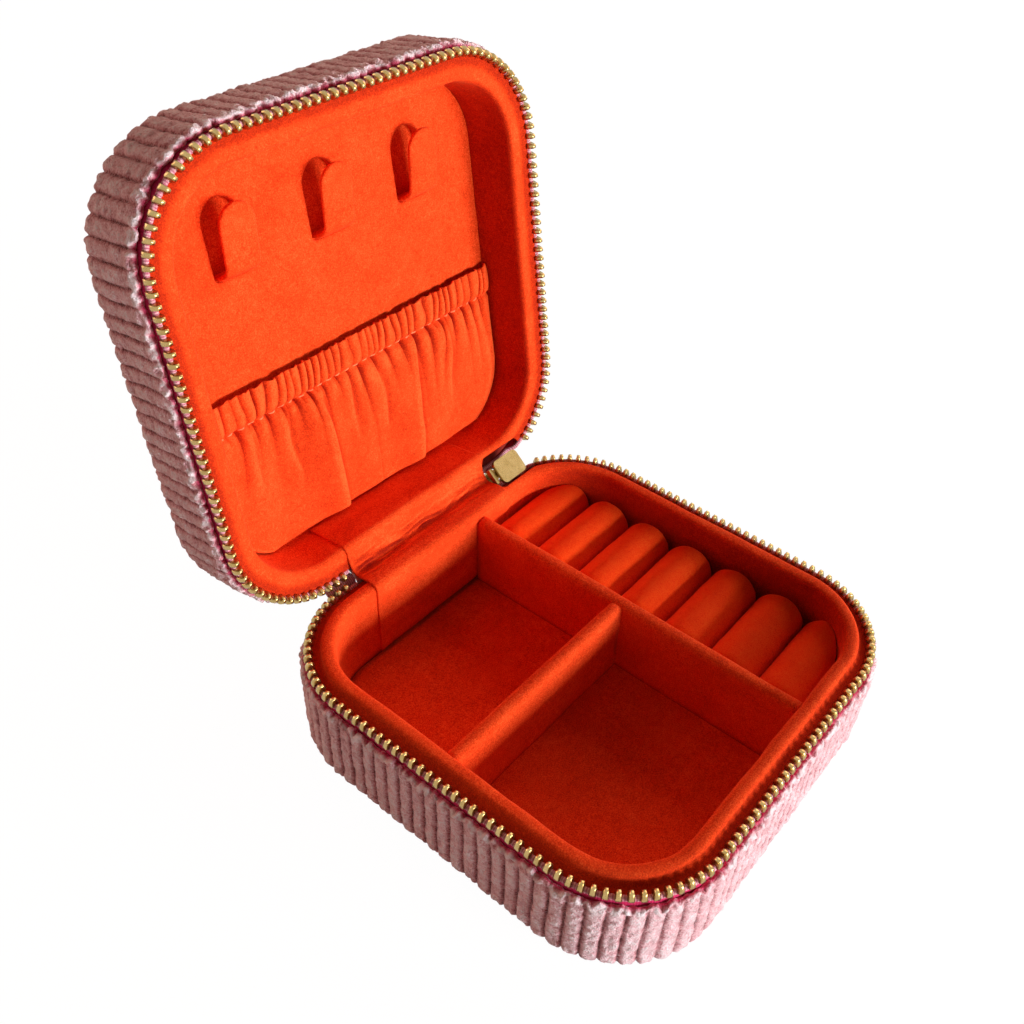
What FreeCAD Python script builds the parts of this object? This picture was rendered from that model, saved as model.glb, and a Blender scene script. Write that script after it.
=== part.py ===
import FreeCAD, Part
import math
import os

os.makedirs("parts", exist_ok=True)

# Outline of the case, taken at the zip line. All lengths are millimetres, angles degrees.
zip_half_width = 48.5
zip_half_depth = 48.1
zip_corner_radius = 21.7
zip_height = 24.0
lid_height = 19.0
lid_open_angle = 98.57
hinge_setback = 1.2

# Layers of the wall, counted outward from the zip line
cover_outset = 1.7
cover_thickness = 1.4
cover_edge_below_zip = 3.0
cover_edge_rounding = 3.2
tape_thickness = 0.5
tape_gap = 0.05
shell_thickness = 2.2
shell_edge_below_zip = 3.4
shell_edge_rounding = 2.0
lining_gap = 0.1
rim_thickness = 3.1
rim_above_zip = 0.9
rim_gap_when_shut = 0.3
rim_rounding = 1.0

# Floor of the base, from the underside up
bottom_cover_thickness = 1.0
tray_turn_up = 4.0
shell_floor_thickness = 1.6
floor_pad_thickness = 2.0

# Compartments
divider_thickness = 3.4
divider_rounding = 1.2
long_divider_x = 12.1
long_divider_below_zip = 0.7
short_divider_y = 1.6
short_divider_below_zip = 1.0
cavity_clearance = 0.15

# Ring rolls
roll_count = 7
roll_row_gap = 0.15
roll_gap = 0.15
roll_top_below_zip = 4.0
roll_end_rounding = 3.0
roll_bed_below_axis = 3.85
roll_bed_fit = 0.05

# Lid, from the zip line up when shut
panel_depth = 13.6
panel_thickness = 1.1
hook_hollow = 1.5
back_lining_thickness = 0.4
lid_shell_top_thickness = 1.0
lid_pad_thickness = 0.6

# Necklace hooks in the lid
hook_count = 3
hook_pitch = 24.0
hook_hole_width = 8.8
hook_hole_length = 15.2
hook_hole_middle_y = -26.2
hook_width = 8.0
hook_thickness = 1.0
hook_stand_off = 3.2
hook_lean = 1.6
hook_foot = 5.0
hook_root = 1.6
hook_gap = 0.25

# Gathered pocket in the lid
pocket_mouth_y = 3.2
pocket_sheet = 0.9
pocket_gap = 1.4
pocket_border = 2.0
elastic_width = 5.6
elastic_thickness = 0.5
elastic_from_mouth = 1.2
elastic_end_gap = 2.65

# Zip
tape_below_zip = 10.0
tape_edge_below_zip = 1.2
tooth_pitch = 2.15
tooth_width = 0.75
tooth_depth = 2.4
tooth_tip_past_zip = 0.7
tooth_rail_height = 0.25
tooth_rail_width = 0.6
chain_start_gap = 0.4
chain_end_gap = 2.0
tape_end_gap = 0.3

# Fabric hinge at the rear
hinge_half_length = 22.0
strip_thickness = 0.8
strip_gap = 0.05
strip_reach = 10.0
spine_thickness = 0.5

# Zip slider with its end stop and pull
stop_length = 0.9
stop_height = 4.0
stop_inner = 3.3
stop_outer = 1.9
slider_stop_gap = 0.4
slider_travel = 3.0
slider_length = 8.2
slider_height = 6.0
slider_inner_face = 3.4
slider_plate = 0.9
slider_corner = 1.2
slider_post_length = 2.2
slider_post_height = 1.6
slider_outer_face = 1.9
slider_outer_plate = 0.7
slider_outer_height = 2.6
wall_relief_depth = 4.6
wall_relief_height = 4.6
wall_relief_length = 17.0
wall_relief_overlap = 0.2
bail_length = 4.4
bail_height = 2.1
bail_width = 1.2
bail_bar = 0.9
pull_pin_diameter = 0.8
pull_pin_clearance = 0.2
pull_side_gap = 0.3
pull_arm = 0.6
pull_length = 14.0
pull_thickness = 1.0

# Sizes that follow from the ones above
tape_end_x = hinge_half_length + tape_end_gap
slider_start_x = tape_end_x + stop_length + slider_stop_gap
slider_end_x = slider_start_x + slider_length
chain_start_x = slider_end_x + slider_travel + chain_start_gap
chain_end_x = -hinge_half_length - chain_end_gap
cover_inner = cover_outset - cover_thickness
shell_outer = -tape_thickness / 2 - tape_gap
shell_inner = shell_outer - shell_thickness
lining_outer = shell_inner - lining_gap
lining_inner = lining_outer - rim_thickness
cavity = lining_inner - cavity_clearance
hinge_y = zip_half_depth + hinge_setback
roll_pitch = (2 * (zip_half_depth + cavity) - roll_row_gap) / roll_count
roll_diameter = roll_pitch - roll_gap
elastic_half_length = zip_half_width + cavity - pocket_border - elastic_end_gap
inner_face_x = zip_half_width + lining_inner
inner_face_y = zip_half_depth + lining_inner
shell_bottom = bottom_cover_thickness
pad_bottom = shell_bottom + shell_floor_thickness
floor = pad_bottom + floor_pad_thickness
rim_top = zip_height + rim_above_zip
lid_rim = rim_top + rim_gap_when_shut
panel_face = zip_height + panel_depth
panel_back = panel_face + panel_thickness
back_lining_face = panel_back + hook_hollow
lid_shell_under = back_lining_face + back_lining_thickness
lid_shell_top = lid_shell_under + lid_shell_top_thickness
lid_pad_top = lid_shell_top + lid_pad_thickness
case_top = zip_height + lid_height
far = 200.0


def vector(x, y, z):
    return FreeCAD.Vector(x, y, z)


def box(x0, x1, y0, y1, z0, z1):
    return Part.makeBox(x1 - x0, y1 - y0, z1 - z0, vector(x0, y0, z0))


def edges_at_height(shape, height):
    found = []
    for edge in shape.Edges:
        bounds = edge.BoundBox
        if abs(bounds.ZMin - height) < 0.001 and abs(bounds.ZMax - height) < 0.001:
            found.append(edge)
    return found


def upright_edges(shape):
    found = []
    for edge in shape.Edges:
        bounds = edge.BoundBox
        if bounds.ZLength > 0.1 and bounds.XLength < 0.001 and bounds.YLength < 0.001:
            found.append(edge)
    return found


def upright_edges_near(shape, y):
    return [edge for edge in upright_edges(shape) if abs(edge.BoundBox.YMin - y) < 0.001]


def rounded_block(offset, z0, z1):
    half_x = zip_half_width + offset
    half_y = zip_half_depth + offset
    block = box(-half_x, half_x, -half_y, half_y, z0, z1)
    return block.makeFillet(zip_corner_radius + offset, upright_edges(block))


def wall(inner, outer, z0, z1):
    return rounded_block(outer, z0, z1).cut(rounded_block(inner, z0 - 1, z1 + 1))


def rounded_at(shape, height, radius):
    return shape.makeFillet(radius, edges_at_height(shape, height))


def hinge_turn(shape, angle):
    turned = shape.copy()
    turned.rotate(vector(0, hinge_y, zip_height), vector(1, 0, 0), -angle)
    return turned


def lid_placed(shape):
    return hinge_turn(shape, lid_open_angle)


def zip_end_placed(shape):
    return hinge_turn(shape, lid_open_angle / 2)


def point_on_lid(y, z):
    turn = math.radians(lid_open_angle)
    dy = y - hinge_y
    dz = z - zip_height
    new_y = hinge_y + dy * math.cos(turn) + dz * math.sin(turn)
    new_z = zip_height - dy * math.sin(turn) + dz * math.cos(turn)
    return (new_y, new_z)


# A bent strip of even thickness: a line of (y, z) points made thick and drawn out along x
def bent_strip(points, thickness, x0, x1):
    left = []
    right = []
    for index, point in enumerate(points):
        before = points[max(index - 1, 0)]
        after = points[min(index + 1, len(points) - 1)]
        into = unit(before, point)
        out = unit(point, after)
        if index == 0:
            into = out
        if index == len(points) - 1:
            out = into
        normal = (-(into[1] + out[1]), into[0] + out[0])
        size = math.hypot(normal[0], normal[1])
        lean = (-normal[0] * into[1] + normal[1] * into[0]) / size
        reach = thickness / 2 / lean / size
        left.append((point[0] + normal[0] * reach, point[1] + normal[1] * reach))
        right.append((point[0] - normal[0] * reach, point[1] - normal[1] * reach))
    outline = left + right[::-1]
    corners = [vector(x0, y, z) for y, z in outline]
    face = Part.Face(Part.makePolygon(corners + corners[:1]))
    return face.extrude(vector(x1 - x0, 0, 0))


def unit(start, end):
    dy = end[0] - start[0]
    dz = end[1] - start[1]
    size = math.hypot(dy, dz)
    if size == 0:
        return (0.0, 0.0)
    return (dy / size, dz / size)


def save(shape, name):
    solid = shape.removeSplitter()
    if solid.ShapeType != "Solid":
        solid = solid.Solids[0]
    solid.exportStep("parts/" + name + ".step")


# Base: stiff shell, fabric outside, lining inside
def base_shell():
    outside = rounded_block(shell_outer, shell_bottom, zip_height - shell_edge_below_zip)
    outside = rounded_at(outside, shell_bottom, shell_edge_rounding)
    return outside.cut(rounded_block(shell_inner, pad_bottom, zip_height))


def base_side_cover():
    return wall(cover_inner, cover_outset, tray_turn_up, zip_height - cover_edge_below_zip)


def base_bottom_cover():
    outside = rounded_at(rounded_block(cover_outset, 0, tray_turn_up), 0, cover_edge_rounding)
    hollow = rounded_block(cover_inner, bottom_cover_thickness, tray_turn_up + 1)
    hollow = rounded_at(hollow, bottom_cover_thickness, shell_edge_rounding)
    return outside.cut(hollow)


def slider_relief(z0, z1):
    x0 = hinge_half_length - wall_relief_overlap
    y0 = zip_half_depth - wall_relief_depth
    return box(x0, x0 + wall_relief_length, y0, y0 + far, z0, z1)


def base_inner_wall():
    ring = wall(lining_inner, lining_outer, pad_bottom, rim_top)
    ring = rounded_at(ring, rim_top, rim_rounding)
    return ring.cut(slider_relief(zip_height - wall_relief_height, far))


def base_floor_pad():
    return rounded_block(cavity, pad_bottom, floor)


# The room inside the inner wall, less the place of the hinge strip on the rear wall
def room_inside():
    strip_y = inner_face_y - strip_thickness - 2 * strip_gap - cavity_clearance
    strip_x = hinge_half_length + cavity_clearance
    strip_z = zip_height - strip_reach - cavity_clearance
    return rounded_block(cavity, 0, far).cut(box(-strip_x, strip_x, strip_y, far, strip_z, far))


def divider(x0, x1, y0, y1, top):
    slab = box(x0, x1, y0, y1, floor, top)
    long_edges = [edge for edge in edges_at_height(slab, top) if edge.Length > 10]
    return slab.makeFillet(divider_rounding, long_edges)


def long_divider():
    half = divider_thickness / 2
    slab = divider(long_divider_x - half, long_divider_x + half, -far / 2, far / 2,
                   zip_height - long_divider_below_zip)
    return slab.common(room_inside())


def short_divider():
    half = divider_thickness / 2
    slab = divider(-far / 2, long_divider_x - half - roll_bed_fit, short_divider_y - half,
                   short_divider_y + half, zip_height - short_divider_below_zip)
    return slab.common(room_inside())


# Ring rolls: padded cylinders side by side in a grooved foam bed
roll_start_x = long_divider_x + divider_thickness / 2 + cavity_clearance
roll_end_x = zip_half_width + cavity
roll_axis_z = zip_height - roll_top_below_zip - roll_diameter / 2
roll_y = [(index - (roll_count - 1) / 2) * roll_pitch for index in range(roll_count)]


def roll_core(y, diameter):
    return Part.makeCylinder(diameter / 2, roll_end_x - roll_start_x, vector(roll_start_x, y, roll_axis_z),
                             vector(1, 0, 0))


def ring_roll(y):
    roll = roll_core(y, roll_diameter)
    rims = [edge for edge in roll.Edges if edge.BoundBox.XLength < 0.001]
    return roll.makeFillet(roll_end_rounding, rims).common(room_inside())


def ring_bed():
    bed = box(roll_start_x, far / 2, -far / 2, far / 2, floor, roll_axis_z - roll_bed_below_axis)
    bed = bed.common(room_inside())
    grooves = [roll_core(y, roll_diameter + 2 * roll_bed_fit) for y in roll_y]
    return bed.cut(grooves)


# Lid, modelled shut and then opened about the hinge line
def lid_shell():
    outside = rounded_block(shell_outer, zip_height + shell_edge_below_zip, lid_shell_top)
    outside = rounded_at(outside, lid_shell_top, shell_edge_rounding)
    return outside.cut(rounded_block(shell_inner, zip_height, lid_shell_under))


def lid_side_cover():
    return wall(cover_inner, cover_outset, zip_height + cover_edge_below_zip, case_top - tray_turn_up)


def lid_top_cover():
    outside = rounded_at(rounded_block(cover_outset, case_top - tray_turn_up, case_top), case_top,
                         cover_edge_rounding)
    hollow = rounded_block(cover_inner, zip_height, lid_pad_top)
    hollow = rounded_at(hollow, lid_pad_top, shell_edge_rounding)
    return outside.cut(hollow)


def lid_top_pad():
    return rounded_block(shell_inner, lid_shell_top, lid_pad_top)


def lid_inner_wall():
    ring = wall(lining_inner, lining_outer, lid_rim, back_lining_face)
    ring = rounded_at(ring, lid_rim, rim_rounding)
    return ring.cut(slider_relief(0, zip_height + wall_relief_height))


def lid_back_lining():
    return rounded_block(lining_outer, back_lining_face, lid_shell_under)


hook_x = [(index - (hook_count - 1) / 2) * hook_pitch for index in range(hook_count)]
hook_hole_low_y = hook_hole_middle_y + hook_hole_length / 2
hook_hole_high_y = hook_hole_middle_y - hook_hole_length / 2


def lid_hook_panel():
    panel = rounded_block(cavity, panel_face, panel_back)
    for x in hook_x:
        half = hook_hole_width / 2
        hole = box(x - half, x + half, hook_hole_high_y, hook_hole_low_y, 0, far)
        panel = panel.cut(hole.makeFillet(half - 0.1, upright_edges_near(hole, hook_hole_high_y)))
    return panel


# A hook is one bent tab: its foot lies behind the panel, its tongue stands in front of the hole
def necklace_hook(x):
    half = hook_width / 2
    foot_z = panel_back + hook_gap + hook_thickness / 2
    neck_y = hook_hole_low_y - hook_gap - hook_thickness / 2
    tongue_z = panel_face - hook_stand_off
    top_y = hook_hole_high_y + hook_gap
    path = [(neck_y + hook_foot, foot_z), (neck_y, foot_z), (neck_y, panel_face),
            (neck_y - hook_root, tongue_z), (top_y, tongue_z - hook_lean)]
    tab = bent_strip(path, hook_thickness, x - half, x + half)
    outline = box(x - half, x + half, top_y, neck_y + hook_foot + 1, 0, far)
    return tab.common(outline.makeFillet(half - 0.1, upright_edges_near(outline, top_y)))


def pocket():
    front = panel_face - pocket_gap - pocket_sheet
    pouch = rounded_block(cavity, front, panel_face)
    hollow = rounded_block(cavity - pocket_border, front + pocket_sheet, far)
    return pouch.cut(hollow).cut(box(-far, far, -far, pocket_mouth_y, 0, far))


def pocket_elastic():
    z0 = panel_face - pocket_gap
    y0 = pocket_mouth_y + elastic_from_mouth
    return box(-elastic_half_length, elastic_half_length, y0, y0 + elastic_width, z0, z0 + elastic_thickness)


# Zip: two tapes and two rows of teeth that mesh when the lid is shut
def rear_gap(x0, x1):
    return box(x0, x1, 0, far, -far, far)


def zip_tape(z0, z1):
    band = wall(-tape_thickness / 2, tape_thickness / 2, z0, z1)
    return band.cut(rear_gap(-tape_end_x, tape_end_x))


def along_zip(distance):
    run_x = zip_half_width - zip_corner_radius
    run_y = zip_half_depth - zip_corner_radius
    bend = zip_corner_radius * math.pi / 2
    runs = [(run_x, 0), (bend, 1), (2 * run_y, 0), (bend, 1), (2 * run_x, 0), (bend, 1),
            (2 * run_y, 0), (bend, 1), (run_x, 0)]
    x, y, heading = 0.0, zip_half_depth, 0.0
    for length, bends in runs:
        step = min(distance, length)
        if bends:
            turn = step / zip_corner_radius
            chord = 2 * zip_corner_radius * math.sin(turn / 2)
            x += chord * math.cos(heading - turn / 2)
            y += chord * math.sin(heading - turn / 2)
            heading -= turn
        else:
            x += step * math.cos(heading)
            y += step * math.sin(heading)
        distance -= step
        if distance <= 0:
            break
    return x, y, heading


zip_round = 4 * (zip_half_width + zip_half_depth) - (8 - 2 * math.pi) * zip_corner_radius
chain_turn = math.asin((chain_start_x - zip_half_width + zip_corner_radius) / zip_corner_radius)
chain_first = zip_half_width - zip_corner_radius + zip_corner_radius * chain_turn + tooth_pitch
chain_last = zip_round + chain_end_x - tooth_pitch
tooth_count = int((chain_last - chain_first) / tooth_pitch)


def zip_teeth(shift, tape_edge, toward_zip):
    tip = zip_height + toward_zip * tooth_tip_past_zip
    rail_edge = tape_edge + toward_zip * tooth_rail_height
    half_rail = tooth_rail_width / 2
    rail = wall(-half_rail, half_rail, min(tape_edge, rail_edge), max(tape_edge, rail_edge))
    rail = rail.cut(rear_gap(chain_end_x, chain_start_x))
    teeth = []
    for index in range(tooth_count):
        x, y, heading = along_zip(chain_first + (index + shift) * tooth_pitch)
        tooth = box(-tooth_width / 2, tooth_width / 2, -tooth_depth / 2, tooth_depth / 2,
                    min(tape_edge, tip), max(tape_edge, tip))
        tooth.rotate(vector(0, 0, 0), vector(0, 0, 1), math.degrees(heading))
        tooth.translate(vector(x, y, 0))
        teeth.append(tooth)
    return rail.fuse(teeth)


# Fabric hinge, in the pose with the lid open: a lining strip inside and a spine between the layers
def hinge_strip_inner():
    lift = strip_thickness / 2 + strip_gap
    face_y = inner_face_y - lift
    back_y = zip_half_depth + lining_outer
    lid_z = lid_rim - lift
    path = [(face_y, zip_height - strip_reach), (face_y, rim_top + lift), (back_y, rim_top + lift),
            point_on_lid(back_y, lid_z), point_on_lid(face_y, lid_z),
            point_on_lid(face_y, zip_height + strip_reach)]
    return bent_strip(path, strip_thickness, -hinge_half_length, hinge_half_length)


def hinge_spine_outer():
    middle = zip_half_depth
    path = [(middle, zip_height - tape_below_zip), (middle, zip_height - tape_edge_below_zip),
            point_on_lid(middle, zip_height + tape_edge_below_zip),
            point_on_lid(middle, zip_height + tape_below_zip)]
    return bent_strip(path, spine_thickness, -hinge_half_length, hinge_half_length)


# Zip end stop, slider and pull, modelled with the lid shut and turned half as far as the lid
def zip_end_stop():
    return box(tape_end_x, tape_end_x + stop_length, hinge_y - stop_inner, hinge_y - stop_outer,
               zip_height - stop_height / 2, zip_height + stop_height / 2)


slider_middle_x = slider_start_x + slider_length / 2
bail_base_y = hinge_y + slider_outer_face + slider_outer_plate
pull_pin_y = bail_base_y + (bail_height - bail_bar) / 2
bail_reach = math.hypot(bail_length / 2, bail_base_y + bail_height - pull_pin_y)


def slider_plate_box(y0, y1, height):
    plate = box(slider_start_x, slider_end_x, y0, y1, zip_height - height / 2, zip_height + height / 2)
    corners = [edge for edge in plate.Edges if edge.BoundBox.YLength > 0.1]
    return plate.makeFillet(min(slider_corner, height / 2 - 0.1), corners)


def zip_slider():
    inner_y = hinge_y - slider_inner_face
    outer_y = hinge_y + slider_outer_face
    inner = slider_plate_box(inner_y - slider_plate, inner_y, slider_height)
    outer = slider_plate_box(outer_y, bail_base_y, slider_outer_height)
    half = slider_post_height / 2
    post = box(slider_end_x - slider_post_length - slider_corner, slider_end_x - slider_corner,
               inner_y - slider_plate / 2, outer_y + slider_outer_plate / 2,
               zip_height - half, zip_height + half)
    bail = box(slider_middle_x - bail_length / 2, slider_middle_x + bail_length / 2,
               bail_base_y - slider_outer_plate / 2, bail_base_y + bail_height,
               zip_height - bail_width / 2, zip_height + bail_width / 2)
    eye = box(slider_middle_x - bail_length / 2 + bail_bar, slider_middle_x + bail_length / 2 - bail_bar,
              bail_base_y, bail_base_y + bail_height - bail_bar, 0, far)
    return inner.fuse([outer, post, bail.cut(eye)])


def zip_pull():
    inside = bail_width / 2 + pull_side_gap
    outside = inside + pull_arm
    pin = Part.makeCylinder(pull_pin_diameter / 2, 2 * outside,
                            vector(slider_middle_x, pull_pin_y, zip_height - outside), vector(0, 0, 1))
    half = pull_thickness / 2
    tab = box(slider_middle_x - half, slider_middle_x + half, pull_pin_y, pull_pin_y + pull_length,
              zip_height - outside, zip_height + outside)
    window = box(slider_middle_x - far, slider_middle_x + far, pull_pin_y - far,
                 pull_pin_y + bail_reach + pull_side_gap, zip_height - inside, zip_height + inside)
    ends = [edge for edge in tab.Edges
            if edge.BoundBox.XLength > 0.1 and edge.BoundBox.YMin > pull_pin_y + pull_length - 0.001]
    return tab.makeFillet(outside - 0.2, ends).cut(window).fuse(pin)


save(base_shell(), "base_shell")
save(base_side_cover(), "base_side_cover")
save(base_bottom_cover(), "base_bottom_cover")
save(base_inner_wall(), "base_inner_wall")
save(base_floor_pad(), "base_floor_pad")
save(long_divider(), "long_divider")
save(short_divider(), "short_divider")
save(ring_bed(), "ring_bed")
for number, y in enumerate(roll_y, start=1):
    save(ring_roll(y), "ring_roll_" + str(number))
base_tape_edge = zip_height - tape_edge_below_zip
save(zip_tape(zip_height - tape_below_zip, base_tape_edge), "base_zip_tape")
save(zip_teeth(0, base_tape_edge, 1), "base_zip_teeth")
save(hinge_strip_inner(), "hinge_strip_inner")
save(hinge_spine_outer(), "hinge_spine_outer")

save(lid_placed(lid_shell()), "lid_shell")
save(lid_placed(lid_side_cover()), "lid_side_cover")
save(lid_placed(lid_top_cover()), "lid_top_cover")
save(lid_placed(lid_top_pad()), "lid_top_pad")
save(lid_placed(lid_inner_wall()), "lid_inner_wall")
save(lid_placed(lid_back_lining()), "lid_back_lining")
save(lid_placed(lid_hook_panel()), "lid_hook_panel")
for number, x in enumerate(hook_x, start=1):
    save(lid_placed(necklace_hook(x)), "necklace_hook_" + str(number))
save(lid_placed(pocket()), "pocket")
save(lid_placed(pocket_elastic()), "pocket_elastic")
lid_tape_edge = zip_height + tape_edge_below_zip
save(lid_placed(zip_tape(lid_tape_edge, zip_height + tape_below_zip)), "lid_zip_tape")
save(lid_placed(zip_teeth(0.5, lid_tape_edge, -1)), "lid_zip_teeth")

save(zip_end_placed(zip_end_stop()), "zip_end_stop")
save(zip_end_placed(zip_slider()), "zip_slider")
save(zip_end_placed(zip_pull()), "zip_pull")
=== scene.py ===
import math
import bpy
import bmesh
import numpy as np
from mathutils import Matrix, Vector


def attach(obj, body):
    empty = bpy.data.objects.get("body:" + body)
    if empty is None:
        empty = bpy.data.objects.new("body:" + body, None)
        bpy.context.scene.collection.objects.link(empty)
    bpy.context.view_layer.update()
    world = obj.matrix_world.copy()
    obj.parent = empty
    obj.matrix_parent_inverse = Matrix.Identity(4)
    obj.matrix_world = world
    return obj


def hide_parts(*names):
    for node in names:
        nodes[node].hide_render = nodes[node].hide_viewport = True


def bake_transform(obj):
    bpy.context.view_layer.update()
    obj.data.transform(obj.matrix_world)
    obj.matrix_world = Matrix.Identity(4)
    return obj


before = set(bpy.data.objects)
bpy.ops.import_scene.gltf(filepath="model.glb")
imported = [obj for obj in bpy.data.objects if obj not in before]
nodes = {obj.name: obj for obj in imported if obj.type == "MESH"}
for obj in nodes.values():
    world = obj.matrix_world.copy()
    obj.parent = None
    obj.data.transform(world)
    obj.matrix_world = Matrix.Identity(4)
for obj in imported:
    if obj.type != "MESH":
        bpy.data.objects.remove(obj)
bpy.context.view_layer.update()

# sizes shared by every piece, in millimetres and degrees; the lid is shaped shut and then opened
case = {"halfWidth": 48.5, "halfDepth": 48.1, "cornerRadius": 21.7, "zipHeight": 24.0,
        "caseTop": 43.0, "openAngle": 98.57, "hingeSetback": 1.2}
hingeY = case["halfDepth"] + case["hingeSetback"]
zipZ = case["zipHeight"]
zipRound = 4 * (case["halfWidth"] + case["halfDepth"]) - (8 - 2 * math.pi) * case["cornerRadius"]


def linear(hexColour):
    # sRGB hex to the linear colour that shaders take
    parts = [int(hexColour[i:i + 2], 16) / 255 for i in (1, 3, 5)]
    return tuple(c / 12.92 if c <= 0.04045 else ((c + 0.055) / 1.055) ** 2.4 for c in parts) + (1.0,)


def eased(t):
    # from 0 to 1, slow at both ends
    t = np.clip(t, 0, 1)
    return t * t * (3 - 2 * t)


def lengthAlong(points):
    return np.concatenate([[0], np.cumsum(np.linalg.norm(np.diff(points, axis=0), axis=1))])


def ringPath(distance, offset=0.0):
    # point and outward normal on the zip line moved outward by offset, from the middle of the rear
    r = case["cornerRadius"]
    runX = case["halfWidth"] - r
    runY = case["halfDepth"] - r
    bend = r * math.pi / 2
    corners = ((runX, runY, 90), (runX, -runY, 0), (-runX, -runY, -90), (-runX, runY, -180))
    lengths = [runX, bend, 2 * runY, bend, 2 * runX, bend, 2 * runY, bend, runX]
    starts = np.cumsum([0] + lengths)
    d = np.mod(np.asarray(distance, float), starts[-1])
    leg = np.clip(np.searchsorted(starts, d, side="right") - 1, 0, 8)
    along = d - starts[leg]
    normalAngle = np.zeros_like(d)
    centre = np.zeros(d.shape + (2,))
    for k, (cx, cy, start) in enumerate(corners):
        here = leg == 2 * k + 1
        normalAngle[here] = np.radians(start) - along[here] / r
        centre[here] = (cx, cy)
    x = np.zeros_like(d)
    y = np.zeros_like(d)
    bent = leg % 2 == 1
    x[bent] = centre[bent, 0] + r * np.cos(normalAngle[bent])
    y[bent] = centre[bent, 1] + r * np.sin(normalAngle[bent])
    halfX, halfY = case["halfWidth"], case["halfDepth"]
    straight = {0: (0, halfY, 90), 2: (halfX, runY, 0), 4: (runX, -halfY, -90), 6: (-halfX, -runY, 180),
                8: (-runX, halfY, 90)}
    for k, (sx, sy, angle) in straight.items():
        here = leg == k
        normalAngle[here] = math.radians(angle)
        heading = math.radians(angle) - math.pi / 2
        x[here] = sx + along[here] * math.cos(heading)
        y[here] = sy + along[here] * math.sin(heading)
    normal = np.stack([np.cos(normalAngle), np.sin(normalAngle)], -1)
    return np.stack([x, y], -1) + np.asarray(offset)[..., None] * normal, normal


def latticeNoise(u, v, seed, wrap=0):
    # smooth random field, one bump per unit, from -1 to 1; wrap makes u repeat
    size = 512
    table = np.random.default_rng(seed).uniform(-1, 1, (size, size))
    iu = np.floor(u).astype(int)
    iv = np.floor(v).astype(int)
    fu = eased(u - iu)
    fv = eased(v - iv)
    turn = wrap or size
    a = table[iu % turn % size, iv % size]
    b = table[(iu + 1) % turn % size, iv % size]
    c = table[iu % turn % size, (iv + 1) % size]
    d = table[(iu + 1) % turn % size, (iv + 1) % size]
    return (a * (1 - fu) + b * fu) * (1 - fv) + (c * (1 - fu) + d * fu) * fv


def placed(points, where):
    # millimetres, shut, to metres in the row frame at rest
    points = np.asarray(points, float).reshape(-1, 3).copy()
    angle = math.radians(case["openAngle"]) if where == "lid" else 0.0
    dy = points[:, 1] - hingeY
    dz = points[:, 2] - zipZ
    points[:, 1] = hingeY + dy * math.cos(angle) + dz * math.sin(angle)
    points[:, 2] = zipZ - dy * math.sin(angle) + dz * math.cos(angle)
    return points / 1000


def addPiece(name, points, faces, material, where, stands=(), values=None):
    # values: one number for each point, for the materials to read
    mesh = bpy.data.meshes.new(name)
    mesh.from_pydata(placed(points, where).tolist() if where else points.tolist(), [], faces)
    for key, data in (values or {}).items():
        numbers = np.asarray(data, np.float32).ravel()
        mesh.attributes.new(key, "FLOAT", "POINT").data.foreach_set("value", numbers)
    fixNormals(mesh)
    mesh.polygons.foreach_set("use_smooth", [True] * len(mesh.polygons))
    piece = bpy.data.objects.new(name, mesh)
    bpy.context.scene.collection.objects.link(piece)
    mesh.materials.append(material)
    if stands:
        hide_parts(*stands)
    if where:
        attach(piece, where)
    return piece


def fixNormals(mesh):
    work = bmesh.new()
    work.from_mesh(mesh)
    bmesh.ops.recalc_face_normals(work, faces=work.faces)
    work.to_mesh(mesh)
    work.free()


def gridFaces(rows, columns, wrapRows=False, wrapColumns=False, start=0):
    faces = []
    for i in range(rows if wrapRows else rows - 1):
        for j in range(columns if wrapColumns else columns - 1):
            a = i * columns + j
            b = ((i + 1) % rows) * columns + j
            c = ((i + 1) % rows) * columns + (j + 1) % columns
            d = i * columns + (j + 1) % columns
            faces.append((a + start, b + start, c + start, d + start))
    return faces


def tubeFaces(rings, around, start=0):
    # rings joined into a tube, closed at both ends
    last = start + (rings - 1) * around
    ends = [tuple(range(start, start + around)), tuple(range(last, last + around))]
    return gridFaces(rings, around, False, True, start) + ends


def addThickness(piece, thicknessMm):
    thick = piece.modifiers.new("clothThickness", "SOLIDIFY")
    thick.thickness = thicknessMm / 1000
    thick.offset = 0


def sweepRing(profile, distances, bulge):
    # profile: (offset, height) pairs carried round the zip line; bulge adds to both
    u = profile[None, :, 0] + bulge[0]
    z = profile[None, :, 1] + bulge[1]
    s = np.repeat(distances[:, None], len(profile), 1)
    return np.column_stack([ringPath(s.ravel(), u.ravel())[0], z.ravel()])


def profileNormals(profile):
    t = np.gradient(profile, axis=0)
    n = np.column_stack([t[:, 1], -t[:, 0]])
    return n / np.maximum(np.linalg.norm(n, axis=1, keepdims=True), 1e-9)


def rounded(points, radius, steps=5):
    # rounds the corners of an open line of (a, b) points
    points = [np.asarray(p, float) for p in points]
    out = [points[0]]
    for k in range(1, len(points) - 1):
        p, q, r = points[k - 1], points[k], points[k + 1]
        into = (p - q) / np.linalg.norm(p - q)
        away = (r - q) / np.linalg.norm(r - q)
        reach = min(radius, 0.48 * np.linalg.norm(p - q), 0.48 * np.linalg.norm(r - q))
        for t in np.linspace(0, 1, steps):
            out.append((1 - t) ** 2 * (q + into * reach) + 2 * t * (1 - t) * q + t * t * (q + away * reach))
    out.append(points[-1])
    return np.array(out)


def evenly(points, step):
    # same line with points about step apart
    points = np.asarray(points, float)
    length = lengthAlong(points)
    count = max(int(length[-1] / step) + 1, 2)
    at = np.linspace(0, length[-1], count)
    return np.column_stack([np.interp(at, length, points[:, k]) for k in range(points.shape[1])])


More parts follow.
